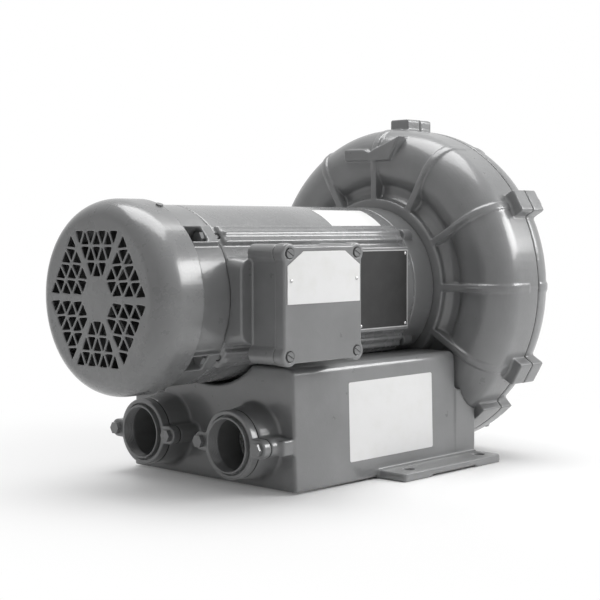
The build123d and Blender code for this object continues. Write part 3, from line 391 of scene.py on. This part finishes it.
# %% [markdown]
# ## Cast edges
# A solid has knife edges and a casting has none. A copy of each casting becomes a net of even
# squares, and smoothing that net rounds every edge by about one square. The solid stays as it is
# and is only hidden, because its copy stands for it. Ribs, beads, bosses and the foot of the conduit
# box are closed skins of their own. They are put into the copy first, and the net joins them to it.

# %% Soften the castings
def plain_mesh(piece):
    """Turn a piece's modifiers into real mesh."""
    graph = bpy.context.evaluated_depsgraph_get()
    mesh = bpy.data.meshes.new_from_object(piece.evaluated_get(graph))
    piece.modifiers.clear()
    piece.data = mesh
    return piece


def new_piece(name, mesh, finish=None):
    piece = bpy.data.objects.new(name, mesh)
    bpy.context.scene.collection.objects.link(piece)
    if finish is not None:
        mesh.materials.clear()
        mesh.materials.append(finish)
    return piece


def round_off(piece, square, passes):
    """Rebuild a piece as a net of even squares and smooth it."""
    net = piece.modifiers.new("net", "REMESH")
    net.mode = "VOXEL"
    net.voxel_size = square
    net.use_smooth_shade = True
    calm = piece.modifiers.new("calm", "SMOOTH")
    calm.factor = 0.5
    calm.iterations = passes
    return plain_mesh(piece)


def cut_away(piece, tool):
    """Take the tool's volume out of a piece. The tool is used up."""
    cut = piece.modifiers.new("cut", "BOOLEAN")
    cut.operation = "DIFFERENCE"
    cut.solver = "EXACT"
    cut.object = tool
    bpy.context.view_layer.update()
    plain_mesh(piece)
    bpy.data.objects.remove(tool)
    return piece


def stand_in(piece, *nodes):
    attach(piece, "root")
    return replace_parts(piece, *nodes)


def closed_mesh(name, bm):
    """Finish a bmesh whose faces all belong to one closed skin."""
    bmesh.ops.remove_doubles(bm, verts=bm.verts, dist=1e-6)
    bmesh.ops.recalc_face_normals(bm, faces=bm.faces)
    mesh = bpy.data.meshes.new(name)
    bm.to_mesh(mesh)
    bm.free()
    return mesh


def turned_mesh(name, profile, reach=180.0, steps=160):
    """Closed (x, r) profile turned round the motor's axis, from -reach to reach beside the top."""
    bm = bmesh.new()
    whole = reach >= 180.0
    rings = []
    for k in range(steps if whole else steps + 1):
        a = math.radians(reach * (2 * k / steps - 1))
        rings.append([bm.verts.new((x, r * math.sin(a), axis_z + r * math.cos(a))) for x, r in profile])
    for k in range(steps):
        near, far = rings[k], rings[(k + 1) % len(rings)]
        for i in range(len(profile)):
            j = (i + 1) % len(profile)
            bm.faces.new((near[i], near[j], far[j], far[i]))
    if not whole:
        bm.faces.new(rings[0][::-1])
        bm.faces.new(rings[-1])
    return closed_mesh(name, bm)


def box_mesh(name, low, high):
    bm = bmesh.new()
    size = Vector(high) - Vector(low)
    place = Matrix.Translation((Vector(high) + Vector(low)) / 2) @ Matrix.Diagonal((*size, 1.0))
    bmesh.ops.create_cube(bm, size=1.0, matrix=place)
    return closed_mesh(name, bm)


def weld(piece, *meshes):
    """Put more closed skins into a piece. The net that is laid over it later joins them."""
    bm = bmesh.new()
    bm.from_mesh(piece.data)
    for mesh in meshes:
        bm.from_mesh(mesh)
    bm.to_mesh(piece.data)
    bm.free()
    return piece


def circle(x, y0, z0, r, around):
    return [(x, y0 + r * math.cos(2 * math.pi * k / around), z0 + r * math.sin(2 * math.pi * k / around))
            for k in range(around)]


def draw_out(bm, near, far):
    """Close the skin between two outlines that have as many points."""
    near = [bm.verts.new(point) for point in near]
    far = [bm.verts.new(point) for point in far]
    bm.faces.new(near)
    bm.faces.new(far[::-1])
    for i in range(len(near)):
        j = (i + 1) % len(near)
        bm.faces.new((near[i], far[i], far[j], near[j]))


def drawn_mesh(name, near, far):
    bm = bmesh.new()
    draw_out(bm, near, far)
    return closed_mesh(name, bm)


def saddle_mesh(name, low, high, flare, corner):
    """Foot of the conduit box: a rounded block along Y that widens towards the motor."""
    loops = []
    for y, grow in ((high[1], flare), (low[1], 0.0)):
        x0, x1, z0, z1 = low[0] - grow, high[0] + grow, low[2] - grow, high[2] + grow
        loop = []
        for cx, cz, start in ((x1, z1, 0), (x0, z1, 90), (x0, z0, 180), (x1, z0, 270)):
            for k in range(7):
                a = math.radians(start + 15 * k)
                mid_x = cx - math.copysign(corner, cx - (x0 + x1) / 2)
                mid_z = cz - math.copysign(corner, cz - (z0 + z1) / 2)
                loop.append((mid_x + corner * math.cos(a), y, mid_z + corner * math.sin(a)))
        loops.append(loop)
    return drawn_mesh(name, *loops)


def rod_mesh(name, x0, x1, y0, z0, r, around=64):
    """Round rod along X: a bead, a boss, or a tool that cuts a round hollow."""
    return drawn_mesh(name, circle(x0, y0, z0, r, around), circle(x1, y0, z0, r, around))


def casing_path():
    """Meridian of the casing from the valley round the hub to the seam, as (x, r, nx, nr)."""
    path = []
    for k in range(13):
        a = math.radians(90 + 90 * k / 12)
        path.append((FACE_X + INNER_ROUND + INNER_ROUND * math.cos(a),
                     INNER_R + INNER_ROUND - INNER_ROUND * math.sin(a), math.cos(a), -math.sin(a)))
    for k in range(17):
        a = math.radians(180 - 90 * k / 16)
        path.append((FACE_X + OUTER_ROUND + OUTER_ROUND * math.cos(a),
                     CASING_R - OUTER_ROUND + OUTER_ROUND * math.sin(a), math.cos(a), math.sin(a)))
    path.append((SEAM_X, CASING_R, 0.0, 1.0))
    return path


def rib_mesh(name, angle, width, rise):
    """Tent-shaped rib that follows the casing. It gets lower where the casing turns outwards."""
    bm = bmesh.new()
    a = math.radians(angle)
    side = Vector((0.0, math.sin(a), -math.cos(a)))
    rings = []
    for x, r, nx, nr in casing_path():
        up = Vector((nx, nr * math.cos(a), nr * math.sin(a)))
        foot = Vector((x, r * math.cos(a), axis_z + r * math.sin(a)))
        crest = foot + up * (rise if nr < 0 else rise * (1 - nr) + RIM_RISE * nr)
        rings.append([bm.verts.new(foot - up * RIB_SUNK + side * width / 2), bm.verts.new(crest),
                      bm.verts.new(foot - up * RIB_SUNK - side * width / 2)])
    for near, far in zip(rings, rings[1:]):
        for i in range(3):
            bm.faces.new((near[i], near[(i + 1) % 3], far[(i + 1) % 3], far[i]))
    bm.faces.new(rings[0][::-1])
    bm.faces.new(rings[-1])
    return closed_mesh(name, bm)


FACE_X, SEAM_X, CASING_R = 53.5 * MM, 128.4 * MM, 201.5 * MM
INNER_R, INNER_ROUND, OUTER_ROUND = 124 * MM, 30 * MM, 36.5 * MM
RIB_WIDTH, RIB_RISE, RIM_RISE, RIB_SUNK = 8 * MM, 4.6 * MM, 0.7 * MM, 2 * MM
VALLEY_REACH = 118.0
VALLEY = [(51.5, 105), (55, 110), (60, 114), (64, 119.5), (65.5, 126), (64.5, 132), (61.5, 138.5),
          (57.5, 146), (72, 150), (76, 108)]
SADDLE_LOW, SADDLE_HIGH = (-296 * MM, -115 * MM, 166 * MM), (-148 * MM, -84 * MM, 256 * MM)
SADDLE_FLARE, SADDLE_CORNER = 4 * MM, 14 * MM
BED_X0, BED_X1 = -330 * MM, -100 * MM
TAB_X0, TAB_X1, TAB_Z0, TAB_Z1 = -253.5 * MM, -235 * MM, 44 * MM, 61 * MM
TAB_INNER_Y, TAB_OUTER_Y = 126 * MM, 134.3 * MM

saddle = new_piece("saddle", saddle_mesh("saddle", SADDLE_LOW, SADDLE_HIGH, SADDLE_FLARE, SADDLE_CORNER))
bed = new_piece("bed", rod_mesh("bed", BED_X0, BED_X1, 0.0, axis_z, motor_r, 240))
saddle_skin = cut_away(saddle, bed).data
bpy.data.objects.remove(saddle)


def beside_axis(angle, r):
    """(y, z) at this angle from the top of the motor."""
    return r * math.sin(math.radians(angle)), axis_z + r * math.cos(math.radians(angle))


BEAD_ANGLES, BEAD_R, BEAD_CENTRE_R = (49, -49, 131, -131), 4.2 * MM, 103 * MM
BOSS_R, BOSS_CENTRE_R = 8 * MM, 98 * MM
beads = [rod_mesh("bead", frame_low.x + 8 * MM, frame_high.x - 5 * MM,
                  *beside_axis(angle, BEAD_CENTRE_R), BEAD_R) for angle in BEAD_ANGLES]
bosses = [rod_mesh("boss", frame_high.x + 2 * MM, frame_high.x + 19 * MM,
                   *beside_axis(angle, BOSS_CENTRE_R), BOSS_R) for angle in BEAD_ANGLES]
extras = {
    "motor_frame": beads, "drive_end_shield": bosses,
    "conduit_box": [saddle_skin],
    "blower_housing": [turned_mesh("valley", [(x * MM, r * MM) for x, r in VALLEY], VALLEY_REACH)]
    + [rib_mesh(f"rib_{angle}", angle, RIB_WIDTH, RIB_RISE) for angle in range(-30, 211, 30)],
    "manifold": [box_mesh("tab", (TAB_X0, y0, TAB_Z0), (TAB_X1, y1, TAB_Z1))
                 for y0, y1 in ((-TAB_OUTER_Y, -TAB_INNER_Y), (TAB_INNER_Y, TAB_OUTER_Y))],
}
softened = {
    "motor_frame": (1.4 * MM, 3),
    "blower_housing": (1.3 * MM, 3), "housing_cover": (1.6 * MM, 4), "manifold": (1.6 * MM, 4),
    "drive_end_shield": (1.4 * MM, 3), "fan_end_shield": (1.3 * MM, 3),
    "conduit_box": (1.2 * MM, 3), "conduit_box_cover": (1.0 * MM, 4),
}
for node, (square, passes) in softened.items():
    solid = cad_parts[node]
    casting = weld(new_piece(node + "_casting", solid.data.copy()), *extras.get(node, []))
    stand_in(round_off(casting, square, passes), node)
    print(f"{casting.name}: {len(casting.data.polygons)} squares of {square / MM:.1f} mm")

# %% [markdown]
# ## The vented cover
# The cover over the fan is a shallow pan with a hexagon of small triangles in its face. The pan is
# a profile turned round the motor's axis, with an oval rounding between face and skirt, and the
# triangles are prisms that are cut away all at once. Each sixth of the hexagon has three rows of 3,
# 5 and 7 triangles that point in and out in turn, with a wide spoke left between the sixths.

# %% Shape the pan and cut the vents
def quarter(x, r, length, rise, steps=14):
    """Oval quarter from the face of the pan to its skirt."""
    points = []
    for k in range(steps + 1):
        a = math.pi / 2 * k / steps
        points.append((x - length * math.cos(a), r + rise * math.sin(a)))
    return points


def vent_triangles(inner, outer, rows, base, bar):
    """Triangles of the sixth that points up, as (across, up) corners."""
    row_h = (outer - inner + bar) / rows
    tri_h = row_h - bar
    pitch = base / 2 + bar / math.cos(math.atan(base / 2 / tri_h))
    holes = []
    for row in range(rows):
        low = inner + row * row_h
        count = 2 * row + 3
        for i in range(count):
            middle = (i - (count - 1) / 2) * pitch
            flat, tip = (low + tri_h, low) if i % 2 == 0 else (low, low + tri_h)
            holes.append([(middle - base / 2, flat), (middle + base / 2, flat), (middle, tip)])
    return holes


def prisms(name, outlines, x0, x1):
    """Outlines in the plane across the motor, drawn out along X."""
    bm = bmesh.new()
    for outline in outlines:
        draw_out(bm, *([(x, y, axis_z + z) for y, z in outline] for x in (x0, x1)))
    return closed_mesh(name, bm)


cover_low, cover_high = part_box("fan_cover")
pan_r = (cover_high.y - cover_low.y) / 2
pan_x0, pan_x1 = cover_low.x, cover_high.x
SHEET, PAN_LENGTH, PAN_RISE = 2.5 * MM, 30 * MM, 20.5 * MM
VENT_INNER, VENT_OUTER, VENT_ROWS, VENT_BASE, VENT_BAR = 24.0 * MM, 71.5 * MM, 3, 13.4 * MM, 2.7 * MM
THIN_SQUARE, THIN_PASSES = 0.7 * MM, 3
outside = quarter(pan_x0 + PAN_LENGTH, pan_r - PAN_RISE, PAN_LENGTH, PAN_RISE)
inside = quarter(pan_x0 + PAN_LENGTH, pan_r - PAN_RISE, PAN_LENGTH - SHEET, PAN_RISE - SHEET)
profile = [(pan_x0, 0.0)] + outside + [(pan_x1, pan_r), (pan_x1, pan_r - SHEET)] + inside[::-1]
profile += [(pan_x0 + SHEET, 0.0)]
pan = new_piece("vented_pan", turned_mesh("vented_pan", profile), sheet_enamel)
sixth = vent_triangles(VENT_INNER, VENT_OUTER, VENT_ROWS, VENT_BASE, VENT_BAR)
outlines = []
for k in range(6):
    c, s = math.cos(math.radians(60 * k)), math.sin(math.radians(60 * k))
    outlines += [[(y * c - z * s, y * s + z * c) for y, z in hole] for hole in sixth]
vents = new_piece("vents", prisms("vents", outlines, pan_x0 - 2 * MM, pan_x0 + 2 * SHEET))
cut_away(pan, vents)
stand_in(round_off(pan, THIN_SQUARE, THIN_PASSES), "fan_cover")
print("vents:", len(outlines), "holes; pan faces:", len(pan.data.polygons))

# %% [markdown]
# ## Pipe threads in the ports
# Each flange takes a two inch pipe, so its bore is threaded. A thin sleeve with one V-shaped groove
# sits in the bore, which is cut out to take it. The groove winds through the bore, so the radius at
# a point depends on how far along and how far round it is.

# %% Threads
def thread_mesh(name, x0, x1, y0, z0, crest, depth, pitch, back, around=96, per_turn=10):
    bm = bmesh.new()
    count = round((x1 - x0) / pitch * per_turn)
    rings = []
    for i in range(count + 1):
        x = x0 + (x1 - x0) * i / count
        ring = []
        for k in range(around):
            a = 2 * math.pi * k / around
            turn = ((x - x0) / pitch - k / around) % 1.0
            r = crest + depth * (1 - abs(2 * turn - 1))
            ring.append(bm.verts.new((x, y0 + r * math.cos(a), z0 + r * math.sin(a))))
        rings.append(ring)
    for x in (x1, x0):
        rings.append([bm.verts.new(point) for point in circle(x, y0, z0, back, around)])
    for i, near in enumerate(rings):
        far = rings[(i + 1) % len(rings)]
        for k in range(around):
            j = (k + 1) % around
            bm.faces.new((near[k], near[j], far[j], far[k]))
    return closed_mesh(name, bm)


THREAD_CREST, THREAD_DEPTH, THREAD_PITCH = 28.5 * MM, 1.1 * MM, 2.209 * MM
THREAD_BACK, BORE_R = 30.1 * MM, 29.9 * MM
for node in ("inlet_flange", "outlet_flange"):
    low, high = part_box(node)
    y0, z0 = (low.y + high.y) / 2, (low.z + high.z) / 2
    flange = new_piece(node + "_casting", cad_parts[node].data.copy())
    bore = new_piece("bore", rod_mesh("bore", low.x - 5 * MM, high.x + 5 * MM, y0, z0, BORE_R))
    cut_away(flange, bore)
    stand_in(round_off(flange, THIN_SQUARE, THIN_PASSES), node)
    thread = thread_mesh(node + "_thread", low.x + 0.3 * MM, high.x - 0.1 * MM, y0, z0, THREAD_CREST,
                         THREAD_DEPTH, THREAD_PITCH, THREAD_BACK)
    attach(new_piece(node + "_thread", thread, bolt_enamel), "root")
    print(node, "thread:", round((high.x - low.x) / THREAD_PITCH, 1), "turns")

# %% [markdown]
# ## Labels
# There are two blank white labels: one high on the side of the motor frame and one on the side of
# the box below. A label is a thin film with round corners that follows its surface.

# %% Labels that follow their surface
def label(name, across, along, corner, lay, thick, finish, steps=16):
    """Rounded rectangle whose point (u, v) is put in place by lay(u, v, height)."""
    outline = []
    for cx, cy, start in ((1, 1, 0), (-1, 1, 90), (-1, -1, 180), (1, -1, 270)):
        for k in range(7):
            a = math.radians(start + 15 * k)
            outline.append((cx * (across / 2 - corner) + corner * math.cos(a),
                            cy * (along / 2 - corner) + corner * math.sin(a)))
    bm = bmesh.new()
    ring = [bm.verts.new((u, v, 0.0)) for u, v in outline]
    bm.faces.new(ring)
    for k in range(1, steps):
        at = along * (k / steps - 0.5)
        bmesh.ops.bisect_plane(bm, geom=bm.verts[:] + bm.edges[:] + bm.faces[:],
                               plane_co=(0, at, 0), plane_no=(0, 1, 0))
    top = bmesh.ops.extrude_face_region(bm, geom=bm.faces[:])["geom"]
    for vert in [g for g in top if isinstance(g, bmesh.types.BMVert)]:
        vert.co.z = thick
    for vert in bm.verts:
        vert.co = lay(vert.co.x, vert.co.y, vert.co.z)
    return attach(new_piece(name, closed_mesh(name, bm), finish), "root")


def on_frame(x_mid, angle_mid):
    """Lay a label on the round motor frame; v runs round it."""
    def lay(u, v, height):
        r = motor_r + FILM_GAP + height
        a = math.radians(angle_mid) + v / motor_r
        return Vector((x_mid + u, -r * math.cos(a), axis_z + r * math.sin(a)))
    return lay


def on_wall(x_mid, z_mid, y_foot, lean):
    """Lay a label on the leaning side wall of the box below."""
    def lay(u, v, height):
        z = z_mid + v
        return Vector((x_mid + u, y_foot + lean * z - WALL_GAP - height, z))
    return lay


FILM, FILM_GAP, WALL_GAP = 0.15 * MM, 0.05 * MM, 0.1 * MM
WALL_FOOT_Y, WALL_LEAN = -136 * MM, 3.5 / 136.9
top_label = label("top_label", 89 * MM, 42 * MM, 3 * MM, on_frame(-55 * MM, 60), FILM, label_film)
side_label = label("side_label", 150 * MM, 90 * MM, 2.5 * MM,
                   on_wall(-72.5 * MM, 69.8 * MM, WALL_FOOT_Y, WALL_LEAN), FILM, label_film)
print("labels:", top_label.name, side_label.name)

# %% [markdown]
# The plate on the conduit box is a clipped sheet with two rivets, and the dark plate sits on a flat
# pad of the round frame with a rivet in each corner.

# %% Plates, their pad and rivets
def plate_mesh(name, outline, y_back, thick):
    """Sheet with this (x, z) outline, standing off to -Y."""
    return drawn_mesh(name, *([(x, y, z) for x, z in outline] for y in (y_back, y_back - thick)))


def edged(piece, width):
    """Small rounded edges."""
    edge = piece.modifiers.new("edge", "BEVEL")
    edge.width = width
    edge.segments = 2
    edge.limit_method = "ANGLE"
    return plain_mesh(piece)


def rivets(name, places, y_back, r, finish):
    """Domed rivet heads."""
    bm = bmesh.new()
    for x, z in places:
        place = Matrix.Translation((x, y_back, z)) @ Matrix.Diagonal((1.0, 0.55, 1.0, 1.0))
        bmesh.ops.create_uvsphere(bm, u_segments=20, v_segments=12, radius=r, matrix=place)
    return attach(new_piece(name, closed_mesh(name, bm), finish), "root")


PLATE_T, RIVET_R, RIVET_INSET, PLATE_ABOVE_MIDDLE = 0.8 * MM, 2.0 * MM, 4.5 * MM, 28 * MM
PAD_MARGIN, PAD_STAND_OFF, PAD_BACK_Y = 3 * MM, 0.6 * MM, -78 * MM
box_low, box_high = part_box("conduit_box_cover")
x_mid, z_mid = (box_low.x + box_high.x) / 2, (box_low.z + box_high.z) / 2 + PLATE_ABOVE_MIDDLE
half_w, half_h, clip_x, clip_z = 56.5 * MM, 27.5 * MM, 24 * MM, 15 * MM
outline = [(x_mid - half_w, z_mid - half_h), (x_mid + half_w, z_mid - half_h),
           (x_mid + half_w, z_mid + half_h - clip_z), (x_mid + half_w - clip_x, z_mid + half_h),
           (x_mid - half_w + clip_x, z_mid + half_h), (x_mid - half_w, z_mid + half_h - clip_z)]
clipped = new_piece("clipped_plate", plate_mesh("clipped_plate", outline, box_low.y, PLATE_T), white_plate)
stand_in(edged(clipped, 0.25 * MM), "cover_plate")
rivet_places = [(x_mid + k * 51 * MM, z_mid - 3 * MM) for k in (-1, 1)]
stand_in(rivets("clipped_plate_rivets", rivet_places, box_low.y - PLATE_T, RIVET_R, turned_steel),
         "cover_plate_pins")

(x0, _, z0), (x1, _, z1) = dark_low, dark_high
front = -motor_r - PAD_STAND_OFF
pad = new_piece("name_pad", box_mesh("name_pad", (x0 - PAD_MARGIN, front, z0 - PAD_MARGIN),
                                     (x1 + PAD_MARGIN, PAD_BACK_Y, z1 + PAD_MARGIN)), cast_enamel)
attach(edged(pad, 1.2 * MM), "root")
outline = [(x0, z0), (x1, z0), (x1, z1), (x0, z1)]
dark = new_piece("dark_plate", plate_mesh("dark_plate", outline, front, PLATE_T), dark_plate)
stand_in(edged(dark, 0.2 * MM), "name_plate")
rivet_places = [(x, z) for x in (x0 + RIVET_INSET, x1 - RIVET_INSET)
                for z in (z0 + RIVET_INSET, z1 - RIVET_INSET)]
stand_in(rivets("dark_plate_rivets", rivet_places, front - PLATE_T, RIVET_R, turned_steel),
         "name_plate_pins")
print("plates:", clipped.name, dark.name, "on", pad.name)

# %% [markdown]
# ## Floor, light and camera
# The floor is a plain sheet. Close to the blower it is real material and takes the shadow. Further
# out it turns into plain white for the rays that come from the camera or from a shiny surface, so
# it meets the white world without a horizon.

# %% The floor
def floor_material():
    board = Board("pale floor")
    away = board.add("ShaderNodeVectorMath", {"operation": "LENGTH"}, {0: board.place()}, output=1)
    rays = board.add("ShaderNodeLightPath")
    path = rays.socket.node.outputs
    seen = Wire(board, path["Is Camera Ray"]) + Wire(board, path["Is Glossy Ray"])
    seen = seen + Wire(board, path["Is Transmission Ray"])
    shader = board.add("ShaderNodeBsdfPrincipled", None, {"Base Color": grey(0.86), "Roughness": 0.5})
    white = board.add("ShaderNodeEmission", None, {"Color": grey(1.0), "Strength": 1.0})
    share = away.between(FADE_START, FADE_END) * seen.maths("MINIMUM", seen, 1.0)
    both = board.add("ShaderNodeMixShader", None, {0: share, 1: shader, 2: white})
    return board.close(both)


def sheet_of_floor(reach):
    mesh = bpy.data.meshes.new("floor")
    corners = [(-reach, -reach, 0), (reach, -reach, 0), (reach, reach, 0), (-reach, reach, 0)]
    mesh.from_pydata(corners, [], [(0, 1, 2, 3)])
    return new_piece("floor", mesh, floor_material())


FADE_START, FADE_END, FLOOR_REACH = 0.14, 0.66, 9.0
floor = sheet_of_floor(FLOOR_REACH)
print("floor laid:", tuple(round(v, 2) for v in floor.dimensions))

# %% [markdown]
# The world is white to look at, but it lights the paint with only about a quarter of that, and a
# reflection sees about three quarters of it. The rest comes from soft boxes: a wide one overhead,
# one on the side of the conduit box and a weak one before the ports. The end with the ports gets
# least light, so its faces go darker than the top.

# %% World and soft boxes
ROOM_LIGHT, ROOM_SHINE = 0.24, 0.7
scene = bpy.context.scene
world = bpy.data.worlds.new("white room")
scene.world = world
world.use_nodes = True
room = Board("white room", world.node_tree)
rays = room.add("ShaderNodeLightPath").socket.node.outputs
shiny = Wire(room, rays["Is Glossy Ray"]) * ROOM_SHINE
direct = Wire(room, rays["Is Camera Ray"]) + Wire(room, rays["Is Transmission Ray"]) + shiny
strength = direct.maths("MINIMUM", direct, 1.0) * (1 - ROOM_LIGHT) + ROOM_LIGHT
backdrop = room.add("ShaderNodeBackground", None, {"Color": grey(1.0), "Strength": strength})
room.tree.links.new(backdrop.socket, room.tree.nodes.new("ShaderNodeOutputWorld").inputs["Surface"])


def soft_box(name, place, target, width, height, power):
    data = bpy.data.lights.new(name, "AREA")
    data.shape = "RECTANGLE"
    data.size = width
    data.size_y = height
    data.energy = power
    lamp = bpy.data.objects.new(name, data)
    scene.collection.objects.link(lamp)
    lamp.location = place
    lamp.rotation_euler = (Vector(target) - Vector(place)).to_track_quat("-Z", "Y").to_euler()
    return lamp


MIDDLE = (0.0, 0.0, 0.2)
boxes = [
    soft_box("overhead box", (0.1, 0.1, 1.9), MIDDLE, 1.7, 1.2, 33.0),
    soft_box("conduit side box", (1.1, -1.3, 1.0), MIDDLE, 1.0, 0.7, 22.0),
    soft_box("port side box", (-2.4, -0.3, 0.9), MIDDLE, 1.4, 1.0, 0.6),
]
print("lamps:", [(lamp.name, lamp.data.energy) for lamp in boxes])

# %% [markdown]
# The camera stands at the height of the motor and looks along the diagonal, past the ports and the
# conduit box. Its direction is worked out from three angles instead of a target, because the small
# roll is part of the view.

# %% The camera
CAMERA_PLACE = (-1.2575, -1.1188, 0.2870)
CAMERA_YAW, CAMERA_DIP, CAMERA_ROLL = 43.70, 3.05, 0.17
CAMERA_LENS = 79.68

camera_data = bpy.data.cameras.new("camera")
camera_data.lens = CAMERA_LENS
camera_data.sensor_width = 36.0
camera = bpy.data.objects.new("camera", camera_data)
scene.collection.objects.link(camera)
camera.location = CAMERA_PLACE
yaw, dip = math.radians(CAMERA_YAW), math.radians(CAMERA_DIP)
forward = Vector((math.cos(yaw) * math.cos(dip), math.sin(yaw) * math.cos(dip), -math.sin(dip)))
turn = Matrix.Rotation(math.radians(CAMERA_ROLL), 3, forward)
camera.rotation_euler = (turn @ forward.to_track_quat("-Z", "Y").to_matrix()).to_euler()
scene.camera = camera
scene.view_settings.view_transform = "Standard"
print("camera looks", tuple(round(c, 3) for c in forward))
